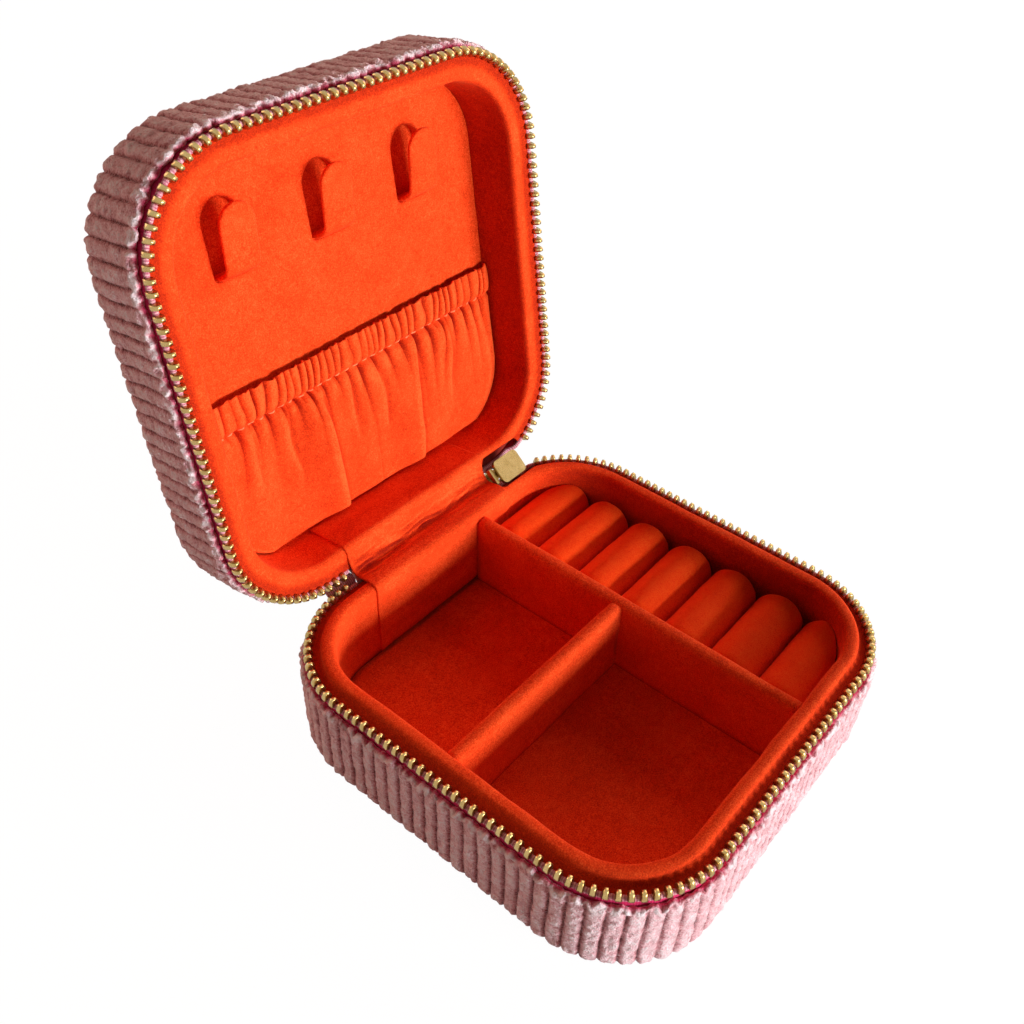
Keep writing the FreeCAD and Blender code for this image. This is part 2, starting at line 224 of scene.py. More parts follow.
def addNode(tree, kind, settings=None, links=None):
    node = tree.nodes.new(kind)
    for key, value in (settings or {}).items():
        if hasattr(node, str(key)):
            setattr(node, key, value)
        else:
            node.inputs[key].default_value = value
    for key, source in (links or {}).items():
        tree.links.new(source, node.inputs[key])
    return node


def newMaterial(name):
    material = bpy.data.materials.new(name)
    material.use_nodes = True
    tree = material.node_tree
    tree.nodes.clear()
    return material, tree


def calc(tree, operation, *terms):
    # a math node; each term is a number or another node's output
    node = addNode(tree, "ShaderNodeMath", {"operation": operation})
    for k, term in enumerate(terms):
        if isinstance(term, (int, float)):
            node.inputs[k].default_value = term
        else:
            tree.links.new(term, node.inputs[k])
    return node.outputs[0]


def colourRamp(tree, factor, stops):
    node = addNode(tree, "ShaderNodeValToRGB", None, {"Fac": factor})
    ramp = node.color_ramp
    while len(ramp.elements) < len(stops):
        ramp.elements.new(0.5)
    for element, (position, colour) in zip(ramp.elements, stops):
        element.position = position
        element.color = linear(colour)
    return node.outputs["Color"]


def pieceValue(tree, name):
    # a number that addPiece stored at each point
    return addNode(tree, "ShaderNodeAttribute", {"attribute_name": name}).outputs["Fac"]


def tintedWhere(tree, share, colour, hexColour):
    return addNode(tree, "ShaderNodeMix", {"data_type": "RGBA", 7: linear(hexColour)},
                   {0: share, 6: colour}).outputs[2]


def objectPlace(tree):
    return addNode(tree, "ShaderNodeTexCoord").outputs["Object"]


def noiseAt(tree, coordinate, sizeMm, detail=2.0, distortion=0.0):
    # noise whose blobs are about sizeMm across
    settings = {"Scale": 1000 / sizeMm, "Detail": detail, "Distortion": distortion}
    return addNode(tree, "ShaderNodeTexNoise", settings, {"Vector": coordinate}).outputs["Fac"]


def addSurface(tree, colour, height, bumpStrength, bumpMm, settings, roughness=None):
    bump = addNode(tree, "ShaderNodeBump", {"Strength": bumpStrength, "Distance": bumpMm / 1000},
                   {"Height": height})
    links = {"Base Color": colour, "Normal": bump.outputs["Normal"]}
    if roughness is not None:
        links["Roughness"] = roughness
    shader = addNode(tree, "ShaderNodeBsdfPrincipled", settings, links)
    addNode(tree, "ShaderNodeOutputMaterial", None, {"Surface": shader.outputs[0]})


# short-pile velvet: fine nap, patches where the pile lies another way, pale glow at grazing angles
velvetLook = {"deep": "#8C1002", "dark": "#CC3208", "mid": "#EE4614", "light": "#FF642C",
              "sheenTint": "#FF8A4C", "sheenWeight": 0.14, "sheenRoughness": 0.3, "napMm": 0.26,
              "patchMm": 7.0, "napShare": 0.62, "clumpShare": 0.2, "patchShare": 0.18, "paintedShadingShare": 0.45,
              "bump": 0.7, "bumpMm": 0.25}


def velvetMaterial(name, look):
    material, tree = newMaterial(name)
    where = objectPlace(tree)
    nap = noiseAt(tree, where, look["napMm"], 3.0)
    clump = noiseAt(tree, where, look["napMm"] * 4, 2.0)
    patch = noiseAt(tree, where, look["patchMm"], 3.0, 0.6)
    first = calc(tree, "MULTIPLY", nap, look["napShare"])
    second = calc(tree, "MULTIPLY_ADD", clump, look["clumpShare"], first)
    third = calc(tree, "MULTIPLY_ADD", patch, look["patchShare"], second)
    # paintedShading: painted shade and painted light stored on each piece, darker below zero and lighter
    # above
    toneWithPaintedShading = calc(tree, "MULTIPLY_ADD", pieceValue(tree, "paintedShading"), look["paintedShadingShare"], third)
    colour = colourRamp(tree, toneWithPaintedShading, [(0.04, look["deep"]), (0.34, look["dark"]), (0.5, look["mid"]),
                                        (0.66, look["light"])])
    addSurface(tree, colour, second, look["bump"], look["bumpMm"],
               {"Roughness": 0.92, "Specular IOR Level": 0.15, "Sheen Weight": look["sheenWeight"],
                "Sheen Roughness": look["sheenRoughness"], "Sheen Tint": linear(look["sheenTint"])})
    return material


velvet = velvetMaterial("velvetDyedOrange", velvetLook)

# corduroy pile: pale crests, deep pink grooves darkened partly as the cloth's own tone and partly as painted
# shade in the slits, tufted nap along each wale
corduroyLook = {"groove": "#7A383C", "flank": "#D2868E", "crest": "#FACCD4", "tuft": "#FFF2F6",
                "cutEdge": "#D83C6C", "sheenTint": "#FFF0F4", "sheenWeight": 1.0, "napMm": 0.36, "bump": 0.9,
                "bumpMm": 0.4}


def corduroyMaterial(name, look):
    material, tree = newMaterial(name)
    where = objectPlace(tree)
    nap = noiseAt(tree, where, look["napMm"], 3.0)
    clump = noiseAt(tree, where, look["napMm"] * 4.5, 2.0, 0.4)
    rough = calc(tree, "MULTIPLY_ADD", nap, 1.1, -0.55)
    rougher = calc(tree, "MULTIPLY_ADD", clump, 0.7, rough)
    lift = calc(tree, "ADD", rougher, -0.37)
    height = calc(tree, "MULTIPLY_ADD", pieceValue(tree, "rib"), 0.8, lift)
    colour = colourRamp(tree, height, [(0.05, look["groove"]), (0.4, look["flank"]), (0.75, look["crest"]),
                                       (0.98, look["tuft"])])
    tinted = tintedWhere(tree, pieceValue(tree, "cut"), colour, look["cutEdge"])
    addSurface(tree, tinted, rougher, look["bump"], look["bumpMm"],
               {"Roughness": 0.95, "Specular IOR Level": 0.1, "Sheen Weight": look["sheenWeight"],
                "Sheen Roughness": 0.45, "Sheen Tint": linear(look["sheenTint"])})
    return material


corduroy = corduroyMaterial("corduroyWovenPile", corduroyLook)

# woven polyester zip tape: fine ribs across, matte
tapeLook = {"dark": "#B8607A", "light": "#E6B0B8", "body": "#D02C64", "ribMm": 0.5, "grainMm": 0.4}


def tapeMaterial(name, look):
    material, tree = newMaterial(name)
    wave = calc(tree, "MULTIPLY", pieceValue(tree, "along"), 2 * math.pi / look["ribMm"])
    grain = noiseAt(tree, objectPlace(tree), look["grainMm"], 2.0)
    woven = calc(tree, "MULTIPLY_ADD", calc(tree, "SINE", wave), 0.2, grain)
    colour = colourRamp(tree, woven, [(0.3, look["dark"]), (0.7, look["light"])])
    # below the corded edge the tape is darker and redder: painted shade in the crevice beside the cover, over
    # the tape's own colour
    tinted = tintedWhere(tree, pieceValue(tree, "deep"), colour, look["body"])
    addSurface(tree, tinted, woven, 0.5, 0.15, {"Roughness": 0.75, "Specular IOR Level": 0.3})
    return material


tape = tapeMaterial("polyesterTapeWoven", tapeLook)

# plated brass: warm pale gold, small differences of polish, darker where dirt gathers
brassLook = {"dark": "#A88C54", "light": "#C4A870", "roughLow": 0.22, "roughHigh": 0.34, "cloudMm": 1.6,
             "scratchMm": 0.25}


def brassMaterial(name, look):
    material, tree = newMaterial(name)
    where = objectPlace(tree)
    cloud = noiseAt(tree, where, look["cloudMm"], 3.0)
    scratch = noiseAt(tree, where, look["scratchMm"], 2.0)
    colour = colourRamp(tree, cloud, [(0.25, look["dark"]), (0.75, look["light"])])
    polish = addNode(tree, "ShaderNodeMapRange", {"To Min": look["roughLow"], "To Max": look["roughHigh"]},
                     {"Value": scratch}).outputs[0]
    addSurface(tree, colour, scratch, 0.12, 0.08, {"Metallic": 1.0}, polish)
    return material


brass = brassMaterial("brassPlatedPolished", brassLook)

# pressed board, seen only through the slits beside the zip: its dark red is painted shade for those slits
slitShadeBoardLook = {"dark": "#7C1408", "light": "#961E0C", "grainMm": 0.8}


def boardMaterial(name, look):
    material, tree = newMaterial(name)
    grain = noiseAt(tree, objectPlace(tree), look["grainMm"], 4.0)
    colour = colourRamp(tree, grain, [(0.35, look["dark"]), (0.65, look["light"])])
    addSurface(tree, colour, grain, 0.3, 0.2, {"Roughness": 0.9})
    return material


board = boardMaterial("boardPaintedSlitShade", slitShadeBoardLook)

# twisted polyester thread: paler than the velvet, with a fine grain of its own
threadLook = {"dark": "#FF7A42", "light": "#FFA476", "grainMm": 0.3}
thread = boardMaterial("polyesterThreadTwisted", threadLook)
print("materials ready")

# outside covers: wales run up the sides; the pile is ragged where the cloth is cut beside the zip
cover = {"walePitch": 3.3, "samplesPerWale": 12, "waleDepth": 0.75, "edgeBelowZip": 2.9, "outset": 1.6,
         "thickness": 1.3, "underRadius": 4.2, "turnUnder": 7.0, "raggedMm": 0.95, "rowStep": 0.3,
         "pressedMm": 3.2, "napMm": 0.17, "tuftMm": 0.13, "fuzzMm": 0.16, "frayMm": 0.55, "sway": 0.09,
         "seamHeight": 0.75, "edgeRound": 0.75, "edgeDrop": 1.3, "hem": 1.6, "hemRun": 2.2, "fadeMm": 3.0,
         "tuckMm": 2.5, "panelOverlap": 0.6, "panelRows": 150, "skin": 0.02}


def waleShape(phase):
    # flat-topped ribs with a narrow slit between, 0 in the slit and 1 on the crest
    return np.clip(1 - np.abs(2 * (phase % 1) - 1) ** 4.5, 0, 1)


def sideCover(name, where, seed, stands):
    wales = round(zipRound / cover["walePitch"])
    count = wales * cover["samplesPerWale"]
    s = np.arange(count) / count * zipRound
    up = 1 if where == "base" else -1
    edge = zipZ - up * cover["edgeBelowZip"]
    under = cover["seamHeight"] if where == "base" else case["caseTop"] - cover["seamHeight"]
    drop = edge - up * cover["edgeDrop"]
    outer = cover["outset"]
    inner = outer - cover["thickness"]
    body = rounded([(outer, drop), (outer, under), (outer - cover["turnUnder"], under)],
                   cover["underRadius"], 12)
    top = rounded([(inner, edge - up * cover["hem"]), (inner, edge), (outer, edge), (outer, drop)],
                  cover["edgeRound"], 6)
    profile = np.vstack([evenly(top, 0.28)[:-1], evenly(body, cover["rowStep"])])
    normal = profileNormals(profile)
    if normal[len(profile) // 2, 0] < 0:
        normal = -normal
    rows = len(profile)
    length = lengthAlong(profile)
    fromCut = length - cover["hemRun"]
    phase = (s / zipRound * wales)[:, None] + np.zeros((1, rows))
    along = np.repeat(fromCut[None, :], count, 0)
    press = eased(along / cover["pressedMm"])
    sway = cover["sway"] * latticeNoise(phase / 3, along / 7, seed, wales // 3)
    rib = waleShape(phase + sway)
    ribNumber = np.floor(phase + sway)
    tuft = latticeNoise(ribNumber * 7.31 + 0.4, along / 1.7, seed + 1)
    nap = latticeNoise(phase * 3.1, along / 0.62, seed + 2)
    fuzz = latticeNoise(phase * 4.3 + 11, along / 0.95, seed + 4)
    fade = np.clip((fromCut[-1] - along) / cover["fadeMm"], 0, 1)
    ribLift = cover["waleDepth"] * (rib - 0.6) * (0.3 + 0.7 * press)
    pile = cover["tuftMm"] * tuft + cover["napMm"] * nap + cover["fuzzMm"] * fuzz
    lift = ribLift + pile * (0.3 + 0.7 * rib)
    frayed = np.exp(-((along - 0.5) / 0.9) ** 2)
    lift += cover["frayMm"] * frayed * np.clip(latticeNoise(phase * 4.4, along / 0.7, seed + 6), -0.3, 1)
    lift = lift * fade * np.clip((along + cover["hemRun"]) / cover["hem"], 0, 1)
    nearCut = np.exp(-np.abs(along - 0.2) / 0.7)
    ragged = cover["raggedMm"] * latticeNoise(phase * 4.1, along * 0 + 3.1, seed + 3) * nearCut
    bulge = (lift * normal[None, :, 0], lift * normal[None, :, 1] + up * ragged)
    points = sweepRing(profile, s, bulge)
    points[:, 2] = np.clip(points[:, 2], cover["skin"], case["caseTop"] - cover["skin"])
    # ramp position from groove to crest; the dark groove end is partly painted shade
    shade = np.clip(rib * (0.25 + 0.75 * press) + (1 - press) * (0.5 + 0.3 * fuzz) + 0.12 * tuft + 0.12 * nap
                    + frayed * (0.45 + 0.5 * fuzz), 0, 1.3)
    cut = np.clip(1 - (along + 0.3) / 0.5, 0, 1)
    return addPiece(name, points, gridFaces(count, rows, True), corduroy, where, stands,
                    {"rib": shade, "cut": cut})


def flatCover(name, where, seed, stands):
    # top or underside panel, sewn in at its edge, wales from front to back
    z = 0.0 if where == "base" else case["caseTop"]
    into = 1 if where == "base" else -1
    inset = cover["outset"] - cover["turnUnder"] + cover["panelOverlap"]
    half = case["halfWidth"] + inset
    halfY = case["halfDepth"] + inset
    radius = case["cornerRadius"] + inset
    wales = round(2 * half / cover["walePitch"])
    count = wales * cover["samplesPerWale"] + 1
    rows = cover["panelRows"]
    x = np.linspace(-half, half, count)
    past = np.clip(np.abs(x) - (half - radius), 0, radius)
    reach = halfY - radius + np.sqrt(np.maximum(radius ** 2 - past ** 2, 0))
    t = np.linspace(-1, 1, rows)
    xx = np.repeat(x[:, None], rows, 1)
    yy = reach[:, None] * t[None, :]
    phase = (xx + half) / (2 * half) * wales
    sway = 0.1 * latticeNoise(phase / 3, yy / 6, seed)
    rib = waleShape(phase + sway)
    edge = np.minimum(reach[:, None] * (1 - np.abs(t))[None, :], half - np.abs(xx))
    tuck = eased(edge / cover["tuckMm"])
    tuft = latticeNoise(np.floor(phase + sway) * 7.3, yy / 2.2, seed + 1)
    nap = latticeNoise(phase * 7, yy / 0.6, seed + 2)
    lift = tuck * (cover["waleDepth"] * rib + (0.1 * tuft + 0.08 * nap) * rib)
    zz = z + into * np.maximum(cover["waleDepth"] + 0.05 - lift, cover["skin"])
    points = np.column_stack([xx.ravel(), yy.ravel(), zz.ravel()])
    return addPiece(name, points, gridFaces(count, rows), corduroy, where, stands,
                    {"rib": np.clip(rib + 0.15 * tuft, 0, 1.2)})


sideCover("base_side_corduroy", "base", 11, ["base_side_cover"])
flatCover("base_under_corduroy", "base", 12, ["base_bottom_cover"])
sideCover("lid_side_corduroy", "lid", 13, ["lid_side_cover"])
flatCover("lid_top_corduroy", "lid", 14, ["lid_top_cover", "lid_top_pad"])
print("covers ready")

# zip: woven tape with a corded edge, and teeth clamped on it one by one
zipLook = {"pitch": 2.15, "toothLength": 0.93, "toothHalf": 0.98, "legs": 1.22, "firstX": 35.2,
           "lastX": -20.2, "tapeHalf": 0.22, "tapeBottom": 10.0, "tapeEdge": 0.74, "cord": 0.55,
           "partedFor": 12.6, "parted": 1.5, "wobble": 0.02,
           "tapeStart": 4.4, "tapeEnd": 22.4, "tapeSteps": 420}


def zipTape(name, where, stands):
    up = 1 if where == "base" else -1
    first = case["halfWidth"] - case["cornerRadius"] - zipLook["tapeStart"]
    count = zipLook["tapeSteps"]
    s = np.linspace(first, zipRound - zipLook["tapeEnd"], count)
    half = zipLook["tapeHalf"]
    cord = zipLook["cord"]
    foot = -zipLook["tapeEdge"] - 2 * cord
    ring = [(-half, -zipLook["tapeBottom"]), (-half, foot - 0.25), (-half, foot)]
    for angle in np.linspace(200, -20, 9):
        a = math.radians(angle)
        ring.append((cord * math.cos(a), -zipLook["tapeEdge"] - cord + cord * math.sin(a)))
    ring += [(half, foot), (half, foot - 0.25), (half, -zipLook["tapeBottom"])]
    profile = np.array([(u, zipZ + up * z) for u, z in ring])
    # the two tapes part to pass round the slider's post
    parted = np.clip((first + zipLook["partedFor"] - s) / 1.5, 0, 1)
    edge = np.array([0] + [1] * (len(profile) - 2) + [0])
    sink = -up * zipLook["parted"] * parted[:, None] * edge[None, :]
    points = sweepRing(profile, s, (0 * sink, sink))
    along = np.repeat(s[:, None], len(profile), 1)
    # mask of the tape below the cord, where the painted shade goes
    deep = np.repeat(np.array([[float(z < foot - 0.1) for u, z in ring]]), count, 0)
    faces = gridFaces(count, len(profile), False, True)
    return addPiece(name, points, faces, tape, where, stands, {"along": along, "deep": deep})


def toothShape():
    # a stamped tooth: flat tip past the zip line, chamfered shoulders, wider legs astride the tape
    half = zipLook["toothHalf"]
    outline = np.array([(-half * 0.8, -0.96), (-half, -0.8), (-half, -0.3), (-half * 0.66, 0.28),
                        (-half * 0.4, 0.62), (half * 0.4, 0.62), (half * 0.66, 0.28), (half, -0.3),
                        (half, -1.02), (half * 0.8, -zipLook["legs"])])
    centre = np.array([0, -0.5])
    points = []
    for x, size in ((-0.5, 0.78), (-0.34, 1.0), (0.34, 1.0), (0.5, 0.78)):
        ring = centre + (outline - centre) * size
        widen = 1 + 0.55 * np.clip((-0.64 - ring[:, 1]) / 0.35, 0, 1)
        points.append(np.column_stack([x * zipLook["toothLength"] * widen, ring]))
    return np.vstack(points), tubeFaces(len(points), len(outline))


def zipTeeth(name, where, shift, stands):
    up = 1 if where == "base" else -1
    radius = case["cornerRadius"]
    turn = math.asin((zipLook["firstX"] - case["halfWidth"] + radius) / radius)
    first = case["halfWidth"] - radius + radius * turn + zipLook["pitch"]
    last = zipRound + zipLook["lastX"] - zipLook["pitch"]
    count = int((last - first) / zipLook["pitch"])
    shape, shapeFaces = toothShape()
    chance = np.random.default_rng(21)
    points = []
    faces = []
    for k in range(count):
        xy, normal = ringPath(np.array([first + (k + shift) * zipLook["pitch"]]))
        n = normal[0]
        heading = np.array([n[1], -n[0]])
        wobble = chance.uniform(-zipLook["wobble"], zipLook["wobble"], 3)
        local = shape + wobble * np.array([1, 0.6, 0.6])
        flat = xy[0] + local[:, :1] * heading + local[:, 1:2] * n
        points.append(np.column_stack([flat, zipZ + up * local[:, 2]]))
        faces += [tuple(i + k * len(shape) for i in face) for face in shapeFaces]
    return addPiece(name, np.vstack(points), faces, brass, where, stands)


zipTape("base_tape", "base", ["base_zip_tape"])
zipTape("lid_tape", "lid", ["lid_zip_tape"])
zipTeeth("base_teeth", "base", 0.0, ["base_zip_teeth"])
zipTeeth("lid_teeth", "lid", 0.5, ["lid_zip_teeth"])
print("zip ready")

# inner walls: velvet drawn over a stiff wall, with a soft rolled rim
rim = {"inner": -5.7, "outer": -2.6, "baseTop": 24.9, "lidTop": 25.2, "roll": 1.55, "floor": 4.3,
       "footZ": 4.6, "lidDepth": 14.9, "steps": 420, "reliefEase": 1.2, "reliefHigh": 4.5, "softMm": 0.12,
       "reliefFrom": 21.9, "reliefTo": 36.2, "reliefOuter": -4.45, "ledgeBelow": 1.15,
       "ledgeTo": -0.4, "rightShade": 0.7, "ledgeShade": 0.55, "footShade": 0.85, "footMm": 0.5}


def footShade(height):
    # painted shade in the line where a wall meets the floor
    return rim["footShade"] * np.exp(-np.clip(height, 0, None) / rim["footMm"])


def innerWall(name, where, seed, stands):
    up = 1 if where == "base" else -1
    top = rim["baseTop"] if where == "base" else rim["lidTop"]
    low = rim["floor"] if where == "base" else case["zipHeight"] + rim["lidDepth"]
    ledge = zipZ - up * rim["ledgeBelow"]
    section = rounded([(rim["inner"], low), (rim["inner"], top), (rim["outer"], top), (rim["outer"], ledge),
                       (rim["ledgeTo"], ledge)], rim["roll"], 7)
    section = evenly(section, 0.45)
    count = rim["steps"]
    s = np.arange(count) / count * zipRound
    rows = len(section)
    normal = profileNormals(section)
    if normal[0, 0] > 0:
        normal = -normal
    ss = np.repeat(s[:, None], rows, 1)
    length = lengthAlong(section)
    ll = np.repeat(length[None, :], count, 0)
    wrap = 60
    soft = rim["softMm"] * latticeNoise(ss / zipRound * wrap, ll / 5, seed, wrap)
    bulge = (soft * normal[None, :, 0], soft * normal[None, :, 1])
    points = sweepRing(section, s, bulge)
    # beside the slider the back of the wall is thinner
    x = points[:, 0]
    ease = rim["reliefEase"]
    blend = np.clip((x - rim["reliefFrom"]) / ease, 0, 1) * np.clip((rim["reliefTo"] - x) / ease, 0, 1)
    limit = case["halfDepth"] + rim["reliefOuter"]
    high = (points[:, 1] > limit) & (np.abs(points[:, 2] - zipZ) < rim["reliefHigh"])
    points[high, 1] -= ((points[:, 1] - limit) * blend)[high]
    # painted shade on the right-hand wall, whose inner face looks away from the light
    right = np.clip(ringPath(s)[1][:, 0], 0, 1) ** 1.5
    inside = np.clip((rim["inner"] + 0.7 - section[:, 0]) / 0.7, 0, 1)
    paintedShading = -rim["rightShade"] * right[:, None] * inside[None, :]
    # and painted shade in the slit beside the zip
    sunk = np.clip((section[:, 0] - rim["outer"] + 0.6) / 1.2, 0, 1)
    paintedShading = paintedShading - rim["ledgeShade"] * sunk[None, :]
    # painted shade at the foot of the wall
    if where == "base":
        paintedShading = paintedShading - footShade(section[:, 1] - rim["footZ"])[None, :]
    faces = gridFaces(count, rows, True)
    return addPiece(name, points, faces, velvet, where, stands, {"paintedShading": paintedShading})


innerWall("base_wall_velvet", "base", 31, ["base_inner_wall"])
innerWall("lid_wall_velvet", "lid", 32, ["lid_inner_wall"])
print("walls ready")


roomInset = 5.75


def roundedRoom(count):
    # points round the room inside the walls
    s = np.arange(count) / count * zipRound
    return ringPath(s, np.full(count, -roomInset))[0]


# floor pad: velvet over thin foam, a little uneven and dipping to its edge
floorPad = {"top": 4.6, "bottom": 2.7, "around": 240, "rings": 26, "reach": 0.985, "dip": 0.5, "dipMm": 0.8,
            "uneven": 0.1, "unevenMm": 7}


def floorPiece():
    count = floorPad["around"]
    rings = floorPad["rings"]
    edge = roundedRoom(count)
    points = []
    for k in range(rings):
        t = k / (rings - 1)
        xy = edge * (1 - t * floorPad["reach"])
        far = np.linalg.norm(edge - xy, axis=1)
        u, v = (xy / floorPad["unevenMm"]).T
        dip = floorPad["dip"] * np.exp(-far / floorPad["dipMm"])
        z = floorPad["top"] - dip + floorPad["uneven"] * latticeNoise(u, v, 41)
        points.append(np.column_stack([xy, z]))
    points = np.vstack(points)
    faces = gridFaces(rings, count, False, True)
    faces.append(tuple((rings - 1) * count + k for k in range(count)))
    low = points[:count].copy()
    low[:, 2] = floorPad["bottom"]
    base = len(points)
    points = np.vstack([points, low])
    faces += [(k, (k + 1) % count, base + (k + 1) % count, base + k) for k in range(count)]
    faces.append(tuple(base + k for k in range(count)))
    piece = addPiece("base_floor_velvet", points, faces, velvet, "base", ["base_floor_pad"])
    return piece


floorPiece()

# dividers: velvet over a stiff card, rounded along the top
dividerLook = {"thickness": 3.4, "foot": 4.4, "longX": 12.1, "longTop": 23.3, "shortY": 1.6, "shortTop": 23.0,
               "topRound": 1.5, "wobble": 0.1, "stepMm": 1.5, "rearGap": 0.9, "overlap": 0.1}


def dividerPiece(name, start, end, top, stands, seed):
    # start and end are the middle of the two ends on the floor
    half = dividerLook["thickness"] / 2
    foot = dividerLook["foot"]
    section = rounded([(-half, foot), (-half, top), (half, top), (half, foot)], dividerLook["topRound"], 7)
    section = evenly(section, 0.6)
    start = np.asarray(start, float)
    end = np.asarray(end, float)
    run = end - start
    size = np.linalg.norm(run)
    run = run / size
    side = np.array([run[1], -run[0]])
    count = int(size / dividerLook["stepMm"])
    points = []
    for t in np.linspace(0, size, count):
        swell = dividerLook["wobble"] * latticeNoise(np.full(len(section), t / 9), section[:, 1] / 6, seed)
        flat = start + run * t + side * (section[:, :1] + np.sign(section[:, :1]) * swell[:, None])
        points.append(np.column_stack([flat, section[:, 1]]))
    rows = len(section)
    faces = gridFaces(count, rows)
    faces.append(tuple(range(rows)))
    faces.append(tuple((count - 1) * rows + k for k in range(rows)))
    # painted shade where the divider meets the floor
    paintedShading = np.tile(-footShade(section[:, 1] - rim["footZ"]), count)
    return addPiece(name, np.vstack(points), faces, velvet, "base", stands, {"paintedShading": paintedShading})


roomY = case["halfDepth"] - roomInset
roomX = case["halfWidth"] - roomInset
longX, shortY = dividerLook["longX"], dividerLook["shortY"]
shortEnd = longX - dividerLook["thickness"] / 2 + dividerLook["overlap"]
dividerPiece("long_divider_velvet", (longX, -roomY), (longX, roomY - dividerLook["rearGap"]),
             dividerLook["longTop"], ["long_divider"], 51)
dividerPiece("short_divider_velvet", (-roomX, shortY), (shortEnd, shortY), dividerLook["shortTop"],
             ["short_divider"], 52)
print("dividers ready")

# ring rolls: stuffed velvet tubes, pressed together, ends tucked into a dome
rolls = {"count": 7, "pitch": 12.05, "radius": 5.98, "axisZ": 14.05, "startX": 13.95, "endX": 42.6,
         "dome": 4.2, "domeGap": 0.8, "around": 48, "touchGap": 0.04, "cornerInset": 5.95, "wallInset": 5.8,
         "stripEdge": 22.2, "stripInset": 6.75, "sideShade": 0.6}
# painted light: the rolls get their own lighter copy of the velvet
rollLitLook = dict(velvetLook, deep="#B81402", dark="#F43804", mid="#FF4A0C", light="#FF5E1A", sheenWeight=0.04)
rollLitVelvet = velvetMaterial("velvetRollPaintedLit", rollLitLook)  # a lighter, redder copy of the velvet: painted light on the rolls


def rollPiece(number):
    y = (number - 1 - (rolls["count"] - 1) / 2) * rolls["pitch"]
    length = rolls["endX"] - rolls["startX"]
    around = rolls["around"]
    a = np.arange(around) / around * 2 * math.pi
    dome = np.linspace(0, 1, 12) ** 2 * rolls["dome"]
    plain = rolls["dome"] + rolls["domeGap"]
    t = np.concatenate([dome, np.linspace(plain, length - plain, 20), length - dome[::-1]])
    widest = rolls["pitch"] / 2 - rolls["touchGap"]
    rings = []
    for x in t:
        near = min(x, length - x)
        shrink = 1.0
        if near < rolls["dome"]:
            q = 1 - near / rolls["dome"]
            shrink = max(1 - q * q * q, 0.02) ** 0.5
        bulge = 1 + 0.012 * math.sin(x / length * math.pi) - 0.01
        radius = rolls["radius"] * shrink * bulge
        ry = np.clip(np.cos(a) * radius, -widest, widest)
        rz = np.sin(a) * radius
        noise = 0.09 * latticeNoise(np.full(around, x / 4), a * 2.5, 60 + number)
        rings.append(np.column_stack([np.full(around, rolls["startX"] + x), y + ry * (1 + noise / 6),
                                      rolls["axisZ"] + rz * (1 + noise / 6)]))
    points = np.vstack(rings)
    # keep the roll inside the room, where the corner squeezes it
    limit = case["cornerRadius"] - rolls["cornerInset"]
    cx = case["halfWidth"] - case["cornerRadius"]
    cy = case["halfDepth"] - case["cornerRadius"]
    dx = points[:, 0] - cx
    dy = np.abs(points[:, 1]) - cy
    far = np.hypot(dx, dy)
    over = (dx > 0) & (dy > 0) & (far > limit)
    points[over, 0] = cx + dx[over] * limit / far[over]
    points[over, 1] = np.sign(points[over, 1]) * (cy + dy[over] * limit / far[over])
    if number == rolls["count"]:
        beside = points[:, 0] < rolls["stripEdge"]
        points[beside, 1] = np.minimum(points[beside, 1], case["halfDepth"] - rolls["stripInset"])
    wallY = case["halfDepth"] - rolls["wallInset"]
    points[:, 1] = np.clip(points[:, 1], -wallY, wallY)
    # painted shade where two rolls touch
    paintedShading = np.tile(-rolls["sideShade"] * np.abs(np.cos(a)) ** 6, len(t))
    piece = addPiece("ring_roll_velvet_" + str(number), points, tubeFaces(len(t), around), rollLitVelvet, "base",
                     ["ring_roll_" + str(number)], {"paintedShading": paintedShading})
    return piece


for number in range(1, rolls["count"] + 1):
    rollPiece(number)
print("rolls ready")

# hook panel: velvet over a stiff board, the edge of each hole rolled in
panel = {"face": 37.6, "around": 160, "holes": 3, "holeWidth": 8.8, "holeLength": 15.2, "holeY": -26.2,
         "holeDepth": 2.5, "pitch": 24.0, "edgeRoll": 0.7}


def holeOutline(x, grow):
    # rounded at the top, square at the bottom where the tab is hinged
    half = panel["holeWidth"] / 2 + grow
    high = panel["holeY"] - panel["holeLength"] / 2 - grow
    low = panel["holeY"] + panel["holeLength"] / 2 + grow
    arc = np.linspace(0, math.pi, 19)
    line = [(x + half * math.cos(a), high + half - half * math.sin(a)) for a in arc]
    line += [(x - half, low - 0.9), (x - half + 0.25, low - 0.25), (x - half + 0.9, low)]
    line += [(x + half - 0.9, low), (x + half - 0.25, low - 0.25), (x + half, low - 0.9)]
    return np.array(line)


